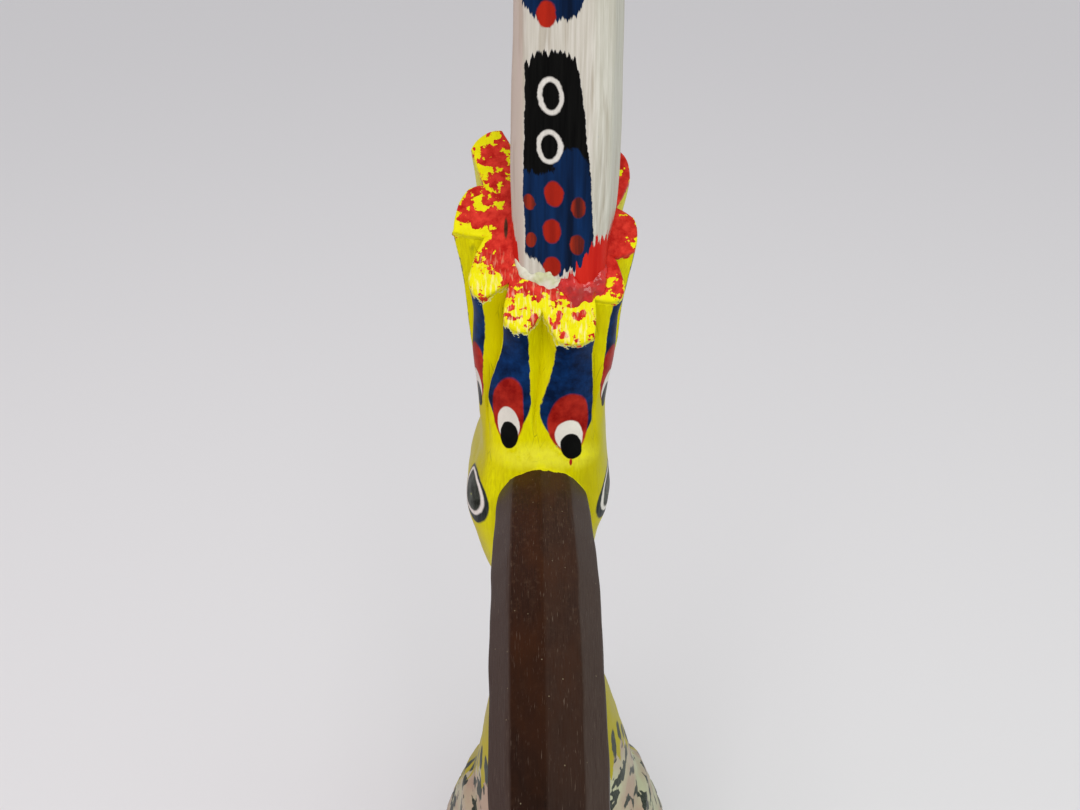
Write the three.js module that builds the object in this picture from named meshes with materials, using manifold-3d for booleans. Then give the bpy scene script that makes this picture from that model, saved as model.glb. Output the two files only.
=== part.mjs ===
// A papier-mache bird: upright body, long neck and fluted crest moulded in one, a whittled wooden
// bill set in the head, a painted wooden plume set in the crest, and a low oval base.
// Millimetres, +Z up. The bird faces -Y, so "front" below is a distance towards -Y.
import * as THREE from 'three';
import { mergeVertices } from 'three/addons/utils/BufferGeometryUtils.js';
import Module from 'manifold-3d';

const wasm = await Module();
wasm.setup();

// Driving sizes
const GAP = 0.3;
const BASE = { wide: 150, deep: 176, thick: 18, edge: 3 };
const BELLY_BOTTOM = 56;
const CREST = { lean: 0.07, dome: 3, corner: 6, boxyBack: 0.4 };
const TAIL = { z: 100, reach: 114, halfWide: 23, rise: 118, drop: 52, blunt: 0.3 };
const WING = {
  shoulder: { front: 38, z: 196 },
  tip: { front: -92, z: 106 },
  halfWide: 31,
  edge: 6,
  raise: 3.6,
};
const LEG = { side: 24, front: 10, ankle: 8, thigh: 11.5, top: 82 };
const TOES = [
  { turn: -30, long: 29 },
  { turn: 0, long: 32 },
  { turn: 30, long: 29 },
  { turn: 180, long: 17 },
];
const TOE = { halfWide: 6, halfHigh: 6 };
const SOLE = BASE.thick + GAP;

// Rings of the papier-mache skin, from the widest part of the belly up to the crest's rim.
// x and front place the ring's middle. side, fore and aft are its half sizes. tilt leans it back
// in degrees, flute is the share of the groove depth, and square is its superellipse power.
const RINGS = [
  { z: 106, x: 2, front: 1, side: 58.5, fore: 63, aft: 67, tilt: 0, flute: 0, square: 2.1 },
  { z: 144, x: 2, front: 4, side: 57.5, fore: 64, aft: 62, tilt: 0, flute: 0, square: 2.1 },
  { z: 182, x: 2, front: 8, side: 46.5, fore: 54, aft: 52, tilt: 0, flute: 0, square: 2.1 },
  { z: 220, x: 1, front: 12, side: 37.5, fore: 41, aft: 40, tilt: 0, flute: 0, square: 2.1 },
  { z: 262, x: -1, front: 13, side: 29, fore: 30, aft: 29, tilt: 0, flute: 0, square: 2.15 },
  { z: 300, x: -3, front: 13, side: 20.5, fore: 21.5, aft: 22, tilt: 0, flute: 0, square: 2.2 },
  { z: 340, x: -6, front: 13, side: 16.8, fore: 18.5, aft: 20, tilt: 0, flute: 0, square: 2.3 },
  { z: 378, x: -7.2, front: 16, side: 22.5, fore: 23, aft: 28, tilt: 2, flute: 0, square: 2.5 },
  { z: 398, x: -6.8, front: 17, side: 25.6, fore: 24, aft: 33, tilt: 4, flute: 0, square: 2.5 },
  { z: 420, x: -4.9, front: 16, side: 21.8, fore: 23, aft: 31, tilt: 8, flute: 0, square: 2.5 },
  { z: 440, x: -5.3, front: 14, side: 22.2, fore: 22, aft: 27, tilt: 18, flute: 0.16, square: 2.4 },
  { z: 458, x: -4.7, front: 12, side: 25, fore: 26, aft: 28, tilt: 30, flute: 0.6, square: 2.4 },
  { z: 474, x: -4.2, front: 10.5, side: 27, fore: 31, aft: 33, tilt: 40, flute: 0.9, square: 2.4 },
  { z: 488.5, x: -4, front: 11.5, side: 29.6, fore: 35.5, aft: 38, tilt: 45, flute: 1, square: 2.4 },
];

// The crest's ribs, by their angle round the rim from the front towards +X. groove and floor are the
// angle and radius of the cut before the rib, and foot is the cut's angle where it runs out on the
// head. from and to are the rib's arrises at the rim, each with its reach.
const RIB_ROUND = 0.03;
const RIBS = [
  { foot: -3.5, groove: -2, floor: 0.735, from: 4, fromReach: 1, to: 24.5, toReach: 1.03 },
  { foot: 45, groove: 38, floor: 0.76, from: 48, fromReach: 0.9, to: 62, toReach: 0.91 },
  { foot: 80, groove: 75, floor: 0.735, from: 82.5, fromReach: 0.93, to: 98, toReach: 0.93 },
  { foot: 110, groove: 107, floor: 0.75, from: 121, fromReach: 0.95, to: 139, toReach: 0.97 },
  { foot: 144, groove: 148, floor: 0.75, from: 153, fromReach: 0.95, to: 170, toReach: 0.95 },
  { foot: 174, groove: 176, floor: 0.75, from: 181, fromReach: 0.95, to: 196, toReach: 0.97 },
  { foot: 206, groove: 202, floor: 0.75, from: 206, fromReach: 1.02, to: 227, toReach: 1.1 },
  { foot: 240, groove: 238, floor: 0.8, from: 245, fromReach: 0.93, to: 270, toReach: 0.98 },
  { foot: 272, groove: 273, floor: 0.67, from: 294, fromReach: 0.88, to: 312, toReach: 0.86 },
  { foot: 309, groove: 321, floor: 0.58, from: 334, fromReach: 0.88, to: 351, toReach: 0.92 },
];

// The bill's sections from the butt inside the head to the tip. wide and high are half sizes.
const BILL_TURN = 4;
const BILL_SIDES = 10;
const BILL = [
  { front: 22, z: 401, x: -5, wide: 13.5, high: 13 },
  { front: 39, z: 401.8, x: -5, wide: 16, high: 16 },
  { front: 67, z: 402.5, x: -4.5, wide: 17, high: 16 },
  { front: 101, z: 400, x: -4, wide: 16.8, high: 14.8 },
  { front: 129, z: 394.5, x: -3.7, wide: 16.2, high: 13.2 },
  { front: 147, z: 389, x: -3.5, wide: 15.4, high: 12 },
  { front: 167, z: 380.5, x: -3.4, wide: 13.6, high: 10.4 },
  { front: 187, z: 368.5, x: -3.1, wide: 10.8, high: 8.4 },
  { front: 202, z: 357, x: -2.9, wide: 7.4, high: 6.2 },
  { front: 210, z: 349.5, x: -2.8, wide: 4.2, high: 3.8 },
];
const BILL_TIP = { front: 213, z: 346.5, x: -2.8 };

// The plume is a square post with wide chamfers. flat is half its width, arris half a face.
const PLUME_TURN = -12;
const PLUME_SOFT = 20;
const PLUME = [
  { z: 456, x: 1.3, front: 12, flat: 14, arris: 9.6 },
  { z: 486, x: 1.5, front: 12, flat: 14.5, arris: 10 },
  { z: 515, x: 2, front: 12, flat: 15.1, arris: 10.6 },
  { z: 560, x: 2.1, front: 12, flat: 13.8, arris: 9.4 },
  { z: 625, x: 2.4, front: 11.5, flat: 12.7, arris: 8.6 },
  { z: 654, x: 2.5, front: 11, flat: 12, arris: 8 },
];
const PLUME_DOME = 20;

const DEG = Math.PI / 180;
const RING_STEP = 9.5;

const power = (v, p) => Math.sign(v) * Math.abs(v) ** p;
const clamp = (v) => Math.min(1, Math.max(0, v));
const smooth = (v) => clamp(v) ** 2 * (3 - 2 * clamp(v));

// One value of a station list at a fractional index, along a Catmull-Rom curve.
function along(list, key, at) {
  const i = Math.min(Math.floor(at), list.length - 2);
  const f = at - i;
  const v = [i - 1, i, i + 1, i + 2].map((n) => list[Math.min(Math.max(n, 0), list.length - 1)][key]);
  const a = (v[2] - v[0]) / 2;
  const b = (v[3] - v[1]) / 2;
  return v[1] + f * a + f * f * (3 * (v[2] - v[1]) - 2 * a - b) + f ** 3 * (2 * (v[1] - v[2]) + a + b);
}

function station(list, at) {
  return Object.fromEntries(Object.keys(list[0]).map((key) => [key, along(list, key, at)]));
}

// A closed skin over rings of points, with a point at each end.
function loft(start, rings, end) {
  const points = [start, ...rings.flat(), end];
  const faces = [];
  const n = rings[0].length;
  const last = points.length - 1;
  const index = (ring, i) => 1 + ring * n + (i % n);
  for (let i = 0; i < n; i += 1) {
    faces.push(0, index(0, i + 1), index(0, i));
    faces.push(last, index(rings.length - 1, i), index(rings.length - 1, i + 1));
    for (let ring = 0; ring < rings.length - 1; ring += 1) {
      faces.push(index(ring, i), index(ring, i + 1), index(ring + 1, i + 1));
      faces.push(index(ring, i), index(ring + 1, i + 1), index(ring + 1, i));
    }
  }
  const geometry = new THREE.BufferGeometry();
  geometry.setAttribute('position', new THREE.Float32BufferAttribute(points.flat(), 3));
  geometry.setIndex(faces);
  return geometry;
}

function solid(geometry) {
  const bare = geometry.clone();
  bare.deleteAttribute('normal');
  bare.deleteAttribute('uv');
  const merged = mergeVertices(bare, 1e-4);
  return new wasm.Manifold(new wasm.Mesh({
    numProp: 3,
    vertProperties: new Float32Array(merged.attributes.position.array),
    triVerts: new Uint32Array(merged.index.array),
  }));
}

function shape(manifold) {
  const mesh = manifold.getMesh();
  const geometry = new THREE.BufferGeometry();
  geometry.setAttribute('position', new THREE.BufferAttribute(new Float32Array(mesh.vertProperties), 3));
  geometry.setIndex(new THREE.BufferAttribute(new Uint32Array(mesh.triVerts), 1));
  geometry.computeVertexNormals();
  return geometry;
}

function piece(name, geometry, color, roughness) {
  const mesh = new THREE.Mesh(geometry, new THREE.MeshStandardMaterial({ color, roughness, metalness: 0 }));
  mesh.name = name;
  return mesh;
}

// How far the tail reaches behind the ring's middle at a height: a blunt wedge.
function tailReach(z) {
  const off = z > TAIL.z ? (z - TAIL.z) / TAIL.rise : (TAIL.z - z) / TAIL.drop;
  return TAIL.reach * Math.max(0.001, 1 + TAIL.blunt - Math.hypot(off, TAIL.blunt));
}

// How far the folded wing stands out of the flank.
function wingRaise(front, z) {
  const dx = WING.tip.front - WING.shoulder.front;
  const dz = WING.tip.z - WING.shoulder.z;
  const long = Math.hypot(dx, dz);
  const a = ((front - WING.shoulder.front) * dx + (z - WING.shoulder.z) * dz) / long ** 2;
  const b = Math.abs((front - WING.shoulder.front) * dz - (z - WING.shoulder.z) * dx) / long;
  if (a <= 0 || a >= 1) return 0;
  const half = WING.halfWide * Math.sin(Math.PI * a ** 0.62) ** 0.7;
  return WING.raise * smooth((half - b) / WING.edge);
}

// The points round the skin: their angle at the rim and at the head's foot of the grooves, their
// reach, and the share of the radius cut away there.
const RIB_POINTS = RIBS.flatMap((rib, i) => {
  const before = RIBS[(i + RIBS.length - 1) % RIBS.length];
  const nextFoot = RIBS[i + 1]?.foot ?? RIBS[0].foot + 360;
  const brink = (before.toReach + rib.fromReach) / 2;
  const face = [0, 1 / 3, 2 / 3, 1].map((w) => ({
    rim: rib.from + w * (rib.to - rib.from),
    foot: rib.foot + (0.2 + 0.6 * w) * (nextFoot - rib.foot),
    reach: rib.fromReach + w * (rib.toReach - rib.fromReach) + RIB_ROUND * (1 - (2 * w - 1) ** 2),
    cut: 0,
  }));
  return [{ rim: rib.groove, foot: rib.foot, reach: brink, cut: 1 - rib.floor / brink }, ...face];
});

// A ring of the skin: scale shrinks it towards its middle and lift moves it along its own normal.
function skinRing(s, scale, lift) {
  const ring = [];
  const tilt = s.tilt * DEG;
  for (const { rim, foot, reach, cut } of RIB_POINTS) {
    const turn = (foot + s.flute ** 2 * (rim - foot)) * DEG;
    const c = Math.cos(turn);
    const boxy = c < 0 ? CREST.boxyBack * s.flute : 0;
    const size = scale * (1 + s.flute ** 3 * (reach - 1)) * (1 - s.flute * cut);
    let side = s.side * power(Math.sin(turn), 2 / (s.square + boxy)) * size;
    let ahead = (c > 0 ? s.fore : s.aft) * power(c, 2 / (s.square - boxy)) * size;
    if (ahead < 0 && s.tail > 0) {
      const r = Math.hypot(side, ahead);
      const wedge = ((side / r / TAIL.halfWide) ** 4 + (ahead / r / s.tail) ** 4) ** -0.25;
      const grown = (r ** 8 + wedge ** 8) ** 0.125 / r;
      side *= grown;
      ahead *= grown;
    }
    const front = s.front + ahead * Math.cos(tilt) + lift * Math.sin(tilt);
    const z = s.z - ahead * Math.sin(tilt) + lift * Math.cos(tilt);
    const lean = CREST.lean * s.flute * Math.max(0, -ahead);
    const wing = Math.sign(side) * wingRaise(front, z);
    ring.push([s.x + side + lean + wing, -front, z]);
  }
  return ring;
}

function skin() {
  const rings = [];
  const first = RINGS[0];
  for (let i = 1; i < 9; i += 1) {
    const a = (i / 9) * 90 * DEG;
    const z = first.z - (first.z - BELLY_BOTTOM) * Math.cos(a);
    rings.push(skinRing({ ...first, z, tail: tailReach(z) }, Math.sin(a) ** 0.9, 0));
  }
  RINGS.slice(1).forEach((upper, gap) => {
    const steps = Math.round((upper.z - RINGS[gap].z) / RING_STEP);
    for (let i = 0; i < steps; i += 1) {
      const s = station(RINGS, gap + i / steps);
      rings.push(skinRing({ ...s, tail: tailReach(s.z) }, 1, 0));
    }
  });
  const rim = { ...RINGS[RINGS.length - 1], tail: 0 };
  rings.push(skinRing(rim, 1, 0));
  for (const scale of [0.985, 0.93, 0.8, 0.55, 0.28]) {
    rings.push(skinRing(rim, scale, CREST.dome * (1 - scale ** CREST.corner) ** (1 / CREST.corner)));
  }
  const middle = CREST.dome * Math.SQRT1_2;
  return loft([first.x, -first.front, BELLY_BOTTOM], rings, [rim.x, -rim.front - middle, rim.z + middle]);
}

// The bill: a curved stick whittled to ten flat sides. grow widens it for its socket.
function bill(grow) {
  const rings = [];
  const count = (BILL.length - 1) * 2;
  for (let i = 0; i <= count; i += 1) {
    const s = station(BILL, i / 2);
    const near = station(BILL, Math.max(0, i / 2 - 0.1));
    const far = station(BILL, Math.min(BILL.length - 1, i / 2 + 0.1));
    const slope = Math.atan2(far.z - near.z, far.front - near.front);
    const ring = [];
    for (let k = 0; k < BILL_SIDES; k += 1) {
      const angle = (k / BILL_SIDES) * 2 * Math.PI + BILL_TURN * DEG;
      const up = (s.high + grow) * Math.cos(angle);
      const x = s.x - (s.wide + grow) * Math.sin(angle);
      ring.push([x, -(s.front - up * Math.sin(slope)), s.z + up * Math.cos(slope)]);
    }
    rings.push(ring);
  }
  const butt = [BILL[0].x, -BILL[0].front + grow, BILL[0].z];
  rings[0].forEach((point) => { point[1] += grow; });
  return loft(butt, rings, [BILL_TIP.x, -BILL_TIP.front, BILL_TIP.z]);
}

// A ring of the plume: an octagon of wide and narrow sides, with slightly softened arrises.
function plumeRing(s, scale, z, grow) {
  const ring = [];
  const count = 24;
  for (let i = 0; i < count; i += 1) {
    const angle = (i / count) * 2 * Math.PI;
    const c = Math.abs(Math.cos(angle));
    const d = Math.abs(Math.sin(angle));
    const sides = [c / s.flat, d / s.flat, (c + d) / (s.flat + s.arris)];
    const r = scale / sides.reduce((sum, v) => sum + v ** PLUME_SOFT, 0) ** (1 / PLUME_SOFT) + grow;
    const turned = angle + PLUME_TURN * DEG;
    ring.push([s.x + r * Math.sin(turned), -s.front - r * Math.cos(turned), z]);
  }
  return ring;
}

function plume(grow) {
  const rings = [];
  const foot = PLUME[0];
  rings.push(plumeRing(foot, 0.93, foot.z - grow, grow));
  rings.push(plumeRing(foot, 1, foot.z + 2, grow));
  for (let i = 1; i <= (PLUME.length - 1) * 2; i += 1) {
    const s = station(PLUME, i / 2);
    rings.push(plumeRing(s, 1, s.z, grow));
  }
  const top = PLUME[PLUME.length - 1];
  for (const a of [25, 45, 62, 77]) {
    const z = top.z + PLUME_DOME * Math.sin(a * DEG);
    rings.push(plumeRing(top, Math.cos(a * DEG) ** 0.8, z, grow));
  }
  return loft([foot.x, -foot.front, foot.z - grow], rings, [top.x, -top.front, top.z + PLUME_DOME]);
}

// A stout leg with three toes ahead and one behind, flat under the sole.
function leg(side) {
  const x = RINGS[0].x + side * LEG.side;
  const profile = [
    [0, SOLE + 3],
    [LEG.ankle, SOLE + 3],
    [LEG.ankle, SOLE + 18],
    [LEG.thigh, SOLE + 42],
    [LEG.thigh, LEG.top],
    [0, LEG.top],
  ];
  const shank = new THREE.LatheGeometry(profile.map(([r, z]) => new THREE.Vector2(r, z)), 16);
  shank.rotateX(90 * DEG);
  shank.translate(x, -LEG.front, 0);
  let whole = solid(shank);
  for (const toe of TOES) {
    const ball = new THREE.SphereGeometry(1, 14, 8);
    ball.scale(TOE.halfWide, toe.long / 2, TOE.halfHigh);
    ball.translate(0, -toe.long / 2 + TOE.halfWide, SOLE + TOE.halfHigh * 0.55);
    ball.rotateZ(toe.turn * DEG);
    ball.translate(x, -LEG.front, 0);
    whole = whole.add(solid(ball));
  }
  return whole;
}

function body() {
  const ground = new THREE.BoxGeometry(400, 400, 100);
  ground.translate(0, 0, SOLE - 50);
  return shape(
    solid(skin())
      .add(leg(-1))
      .add(leg(1))
      .subtract(solid(ground))
      .subtract(solid(bill(GAP)))
      .subtract(solid(plume(GAP))),
  );
}

function base() {
  const profile = [
    [0, 0],
    [1, 0],
    [1, BASE.thick - BASE.edge],
    [1 - (BASE.edge * 0.3) / (BASE.wide / 2), BASE.thick - BASE.edge * 0.3],
    [1 - BASE.edge / (BASE.wide / 2), BASE.thick],
    [0, BASE.thick],
  ];
  const disc = new THREE.LatheGeometry(profile.map(([r, z]) => new THREE.Vector2(r, z)), 56);
  disc.rotateX(90 * DEG);
  disc.scale(BASE.wide / 2, BASE.deep / 2, 1);
  return shape(solid(disc));
}

const group = new THREE.Group();
group.add(piece('body', body(), '#dbd80c', 0.42));
group.add(piece('bill', shape(solid(bill(0))), '#3a271e', 0.5));
group.add(piece('plume', shape(solid(plume(0))), '#c9c4bb', 0.55));
group.add(piece('base', base(), '#4b3a2b', 0.6));

export default group;
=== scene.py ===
import math

import bpy
import numpy as np
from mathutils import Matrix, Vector


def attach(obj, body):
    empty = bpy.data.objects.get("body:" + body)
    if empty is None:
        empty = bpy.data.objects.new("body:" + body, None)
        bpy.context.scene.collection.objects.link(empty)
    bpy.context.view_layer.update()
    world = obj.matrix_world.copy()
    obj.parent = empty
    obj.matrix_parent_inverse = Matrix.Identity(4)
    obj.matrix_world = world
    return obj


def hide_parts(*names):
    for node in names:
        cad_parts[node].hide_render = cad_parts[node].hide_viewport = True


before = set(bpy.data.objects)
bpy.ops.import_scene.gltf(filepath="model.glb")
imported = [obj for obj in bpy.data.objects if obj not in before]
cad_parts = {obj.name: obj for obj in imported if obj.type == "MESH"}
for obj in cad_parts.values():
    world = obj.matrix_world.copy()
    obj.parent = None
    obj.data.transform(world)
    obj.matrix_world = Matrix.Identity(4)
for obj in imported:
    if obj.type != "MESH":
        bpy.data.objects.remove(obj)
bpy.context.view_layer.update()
bpy.ops.object.select_all(action="DESELECT")

# Base
# A low oval of softwood, sawn out, its top edge rounded with a knife and stained dark brown.
# The bird's feet are glued to it.
BASE_WIDE, BASE_DEEP, BASE_THICK = 0.150, 0.176, 0.018
BASE_EDGE = 0.003


def linear(code):
    """The linear colour of an sRGB hex value."""
    parts = [int(code[i:i + 2], 16) / 255 for i in (1, 3, 5)]
    return tuple(c / 12.92 if c <= 0.04045 else ((c + 0.055) / 1.055) ** 2.4 for c in parts) + (1.0,)


def link(tree, node, links):
    """Links the node's inputs to other nodes' first outputs, or to chosen outputs."""
    for key, source in links.items():
        chosen = source.outputs[0] if isinstance(source, bpy.types.Node) else source
        tree.links.new(chosen, node.inputs[key])


def add(tree, kind, settings=None, links=None):
    """Adds a shader node, sets its properties and inputs, and links its inputs."""
    made = tree.nodes.new("ShaderNode" + kind)
    for key, value in (settings or {}).items():
        if isinstance(key, int) or key in made.inputs:
            made.inputs[key].default_value = value
        else:
            setattr(made, key, value)
    link(tree, made, links or {})
    return made


def new_paint(name):
    """A material with its shader and its Object coordinates in metres."""
    paint = bpy.data.materials.new(name)
    paint.use_nodes = True
    tree = paint.node_tree
    place = add(tree, "TexCoord").outputs["Object"]
    return paint, tree, tree.nodes["Principled BSDF"], place


def finish_piece(piece, name, paint, angle):
    """Names a piece, gives it its material and smooths it up to the angle of its arrises."""
    piece.name = name
    piece.data.name = name
    piece.data.materials.clear()
    piece.data.materials.append(paint)
    bpy.ops.object.select_all(action="DESELECT")
    piece.select_set(True)
    bpy.context.view_layer.objects.active = piece
    bpy.ops.object.transform_apply(location=True, rotation=True, scale=True)
    bpy.ops.object.shade_smooth_by_angle(angle=math.radians(angle))
    bpy.ops.object.select_all(action="DESELECT")


def sawn_base():
    bpy.ops.mesh.primitive_cylinder_add(
        vertices=192, radius=0.5, depth=BASE_THICK, location=(0, 0, BASE_THICK / 2)
    )
    piece = bpy.context.object
    piece.scale = (BASE_WIDE, BASE_DEEP, 1)
    bpy.ops.object.transform_apply(location=True, rotation=True, scale=True)
    bevel = piece.modifiers.new("knife rounding", "BEVEL")
    bevel.width = BASE_EDGE
    bevel.segments = 5
    bevel.limit_method = "ANGLE"
    bpy.ops.object.modifier_apply(modifier=bevel.name)
    return piece


# Softwood stained dark brown, sawn and rubbed down: long grain along the base, pores that took
# more stain, and a dull satin sheen.
def stained_softwood():
    paint, tree, shader, place = new_paint("stained softwood, sawn and rubbed down")
    grain = add(tree, "Mapping", {"Scale": (900, 60, 900)}, {"Vector": place})
    pores = add(tree, "TexNoise", {"Scale": 1, "Detail": 4}, {"Vector": grain})
    cloud = add(tree, "TexNoise", {"Scale": 30, "Detail": 3}, {"Vector": place})
    tone = add(tree, "Math", {"operation": "MULTIPLY_ADD", 1: 0.5}, {0: cloud, 2: pores})
    stain = add(tree, "ValToRGB", {}, {0: tone})
    stain.color_ramp.elements[0].position = 0.45
    stain.color_ramp.elements[0].color = linear("#2b2019")
    stain.color_ramp.elements[1].position = 1.0
    stain.color_ramp.elements[1].color = linear("#5c4735")
    bump = add(tree, "Bump", {"Strength": 0.4, "Distance": 0.0002}, {"Height": pores})
    link(tree, shader, {"Base Color": stain, "Normal": bump})
    shader.inputs["Roughness"].default_value = 0.55
    return paint


base = sawn_base()
finish_piece(base, "oval_base", stained_softwood(), 40)
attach(base, "root")
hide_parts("base")


# Body
# Papier-mache pressed over a mould in one piece, from the tail to the fluted crest: the ribs are
# pinched up and their grooves cut with a knife, then it is painted by hand in enamel.
MM = 0.001
BELLY_BOTTOM, NECK_FROM, HEAD_FROM = 56, 300, 340
RIB_ROUND, GROOVE_NARROWEST = 0.03, 0.25
CREST_LEAN, CREST_DOME, CREST_CORNER, CREST_BOXY_BACK = 0.07, 3, 6, 0.4
CREST_RADIUS = 29
TAIL = {"z": 100, "reach": 113.4, "half_wide": 23, "rise": 118, "drop": 52, "blunt": 0.3}
WING = {"shoulder": (38, 196), "tip": (-92, 106), "half_wide": 31, "edge": 6, "raise": 3.6}
FEATHER_WIDE, FEATHER_DEEP = 8.5, 0.9
LUMP_SIZES = ((21, 0.3), (8, 0.12))
COLUMNS_A_RIB, GROOVE_COLUMNS = 24, 5
RING_SPACING = {"belly": 20, "body": 1.9, "head": 0.85, "face": 34}

# The rings of the skin: the height, place across and place to the front of each one's middle, its
# reach to the side, ahead and behind, its tilt in degrees, how fluted it is, and how square.
RINGS = (
    (106, 2, 1, 58.5, 63, 67, 0, 0, 2.1),
    (144, 2, 4, 57.5, 64, 62, 0, 0, 2.1),
    (182, 2, 8, 46.5, 54, 52, 0, 0, 2.1),
    (220, 1, 12, 37.5, 41, 40, 0, 0, 2.1),
    (262, -1, 13, 29, 30, 29, 0, 0, 2.15),
    (300, -3, 13, 20.5, 21.5, 22, 0, 0, 2.2),
    (340, -6, 13, 16.8, 18.5, 20, 0, 0, 2.3),
    (378, -7.2, 16, 22.5, 23, 28, 2, 0, 3),
    (398, -6.8, 17, 25.6, 24, 33, 4, 0, 3.4),
    (420, -4.9, 16, 21.8, 23, 31, 8, 0, 3.2),
    (440, -5.3, 14, 22.2, 22, 27, 18, 0.16, 2.7),
    (458, -4.7, 12, 25, 26, 28, 30, 0.6, 2.4),
    (474, -4.2, 10.5, 27, 31, 33, 40, 0.9, 2.4),
    (488.5, -4, 11.5, 29.6, 35.5, 38, 45, 1, 2.4),
)

# The ribs of the crest, by their angle round the rim from the front towards +X: where the groove
# before the rib runs out on the head, its angle at the rim, the radius at its floor, the rib's
# first arris and its reach, and its last arris and reach.
RIBS = (
    (-3.5, -2, 0.735, 4, 1, 24.5, 1.03),
    (45, 38, 0.76, 48, 0.9, 62, 0.91),
    (80, 75, 0.735, 82.5, 0.93, 98, 0.93),
    (110, 107, 0.75, 121, 0.95, 139, 0.97),
    (144, 148, 0.75, 153, 0.95, 170, 0.95),
    (174, 176, 0.75, 181, 0.95, 196, 0.97),
    (206, 202, 0.75, 206, 1.02, 227, 1.1),
    (240, 238, 0.8, 245, 0.93, 270, 0.98),
    (272, 273, 0.67, 294, 0.88, 312, 0.86),
    (309, 321, 0.58, 334, 0.88, 351, 0.92),
)


def along(stations, at):
    """The stations' values at fractional indices, on Catmull-Rom curves."""
    table = np.asarray(stations, float)
    last = len(table) - 1
    i = np.clip(np.floor(at).astype(int), 0, last - 1)
    f = (np.asarray(at, float) - i)[..., None]
    before, a, b, after = (table[np.clip(i + n, 0, last)] for n in (-1, 0, 1, 2))
    rise_a, rise_b = (b - before) / 2, (after - a) / 2
    square, cube = 3 * (b - a) - 2 * rise_a - rise_b, 2 * (a - b) + rise_a + rise_b
    return a + f * rise_a + f ** 2 * square + f ** 3 * cube


def smooth(value):
    clamped = np.clip(value, 0, 1)
    return clamped ** 2 * (3 - 2 * clamped)


def power(value, p):
    return np.sign(value) * np.abs(value) ** p


def lumps(points, size, seed):
    """A smooth hand-made unevenness between -1 and 1, with hollows about size millimetres apart."""
    waves, strength = 9, 1.8
    chance = np.random.default_rng(seed)
    total = 0
    for _ in range(waves):
        direction = chance.normal(size=3)
        direction *= 2 * math.pi / size / np.linalg.norm(direction)
        total = total + np.sin(points @ direction + chance.uniform(0, 2 * math.pi))
    return total / waves * strength


def wing_relief(front, z):
    """How far the folded wing and the quills in its rear half stand out of the flank."""
    (front_a, z_a), (front_b, z_b) = WING["shoulder"], WING["tip"]
    dx, dz = front_b - front_a, z_b - z_a
    length = math.hypot(dx, dz)
    a = ((front - front_a) * dx + (z - z_a) * dz) / length ** 2
    b = ((front - front_a) * dz - (z - z_a) * dx) / length
    inside = (a > 0) & (a < 1)
    held = np.clip(a, 0.001, 0.999)
    half = WING["half_wide"] * np.sin(np.pi * held ** 0.62) ** 0.7
    plate = WING["raise"] * smooth((half - np.abs(b)) / WING["edge"])
    quill = np.abs(((b + 40 * held) / FEATHER_WIDE) % 1 - 0.5) * 2
    cut = FEATHER_DEEP * smooth(1 - quill / 0.3) * smooth((held - 0.3) / 0.12)
    return np.where(inside, np.maximum(plate - cut * (plate > 0), 0), 0)


def tail_reach(z):
    off = np.where(z > TAIL["z"], (z - TAIL["z"]) / TAIL["rise"], (TAIL["z"] - z) / TAIL["drop"])
    return TAIL["reach"] * np.maximum(0.001, 1 + TAIL["blunt"] - np.hypot(off, TAIL["blunt"]))


def across_rib(column, flute):
    """The turn round the skin of a column, its reach, the share of the radius cut away there, and
    its place across its rib: -1 and 1 are the arrises, and beyond them are the grooves' walls."""
    rib = np.floor(column / COLUMNS_A_RIB).astype(int) % len(RIBS)
    step = column - np.floor(column / COLUMNS_A_RIB) * COLUMNS_A_RIB
    table = np.array(RIBS, float)
    before, this, after = table[rib - 1], table[rib], table[(rib + 1) % len(RIBS)]
    round_again = np.where(rib == len(RIBS) - 1, 360, 0)
    start = this[:, 0] + flute ** 2 * (this[:, 1] - this[:, 0])
    end = after[:, 0] + flute ** 2 * (after[:, 1] - after[:, 0]) + round_again
    narrow = np.maximum(GROOVE_NARROWEST, flute)
    first = start + (this[:, 3] - this[:, 1]) * narrow
    last = end - (after[:, 1] + round_again - this[:, 5]) * narrow
    into, out = step / GROOVE_COLUMNS, (COLUMNS_A_RIB - step) / GROOVE_COLUMNS
    w = (step - GROOVE_COLUMNS) / (COLUMNS_A_RIB - 2 * GROOVE_COLUMNS)
    cut_turn = np.where(into < 1, start + (first - start) * into,
                        np.where(out < 1, end - (end - last) * out, first + (last - first) * w))
    even_turn = start + (end - start) * step / COLUMNS_A_RIB
    turn = even_turn + (cut_turn - even_turn) * smooth(flute / 0.12)
    face = np.clip(w, 0, 1)
    reach = this[:, 4] + (this[:, 6] - this[:, 4]) * face + RIB_ROUND * (1 - (2 * face - 1) ** 2)
    brink_before, brink_after = (before[:, 6] + this[:, 4]) / 2, (this[:, 6] + after[:, 4]) / 2
    reach = np.where(into < 1, brink_before + (reach - brink_before) * into, reach)
    reach = np.where(out < 1, brink_after + (reach - brink_after) * out, reach)
    cut = (1 - this[:, 2] / brink_before) * np.clip(1 - into, 0, 1)
    cut += (1 - after[:, 2] / brink_after) * np.clip(1 - out, 0, 1)
    return np.radians(turn), reach, cut, 2 * w - 1


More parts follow.
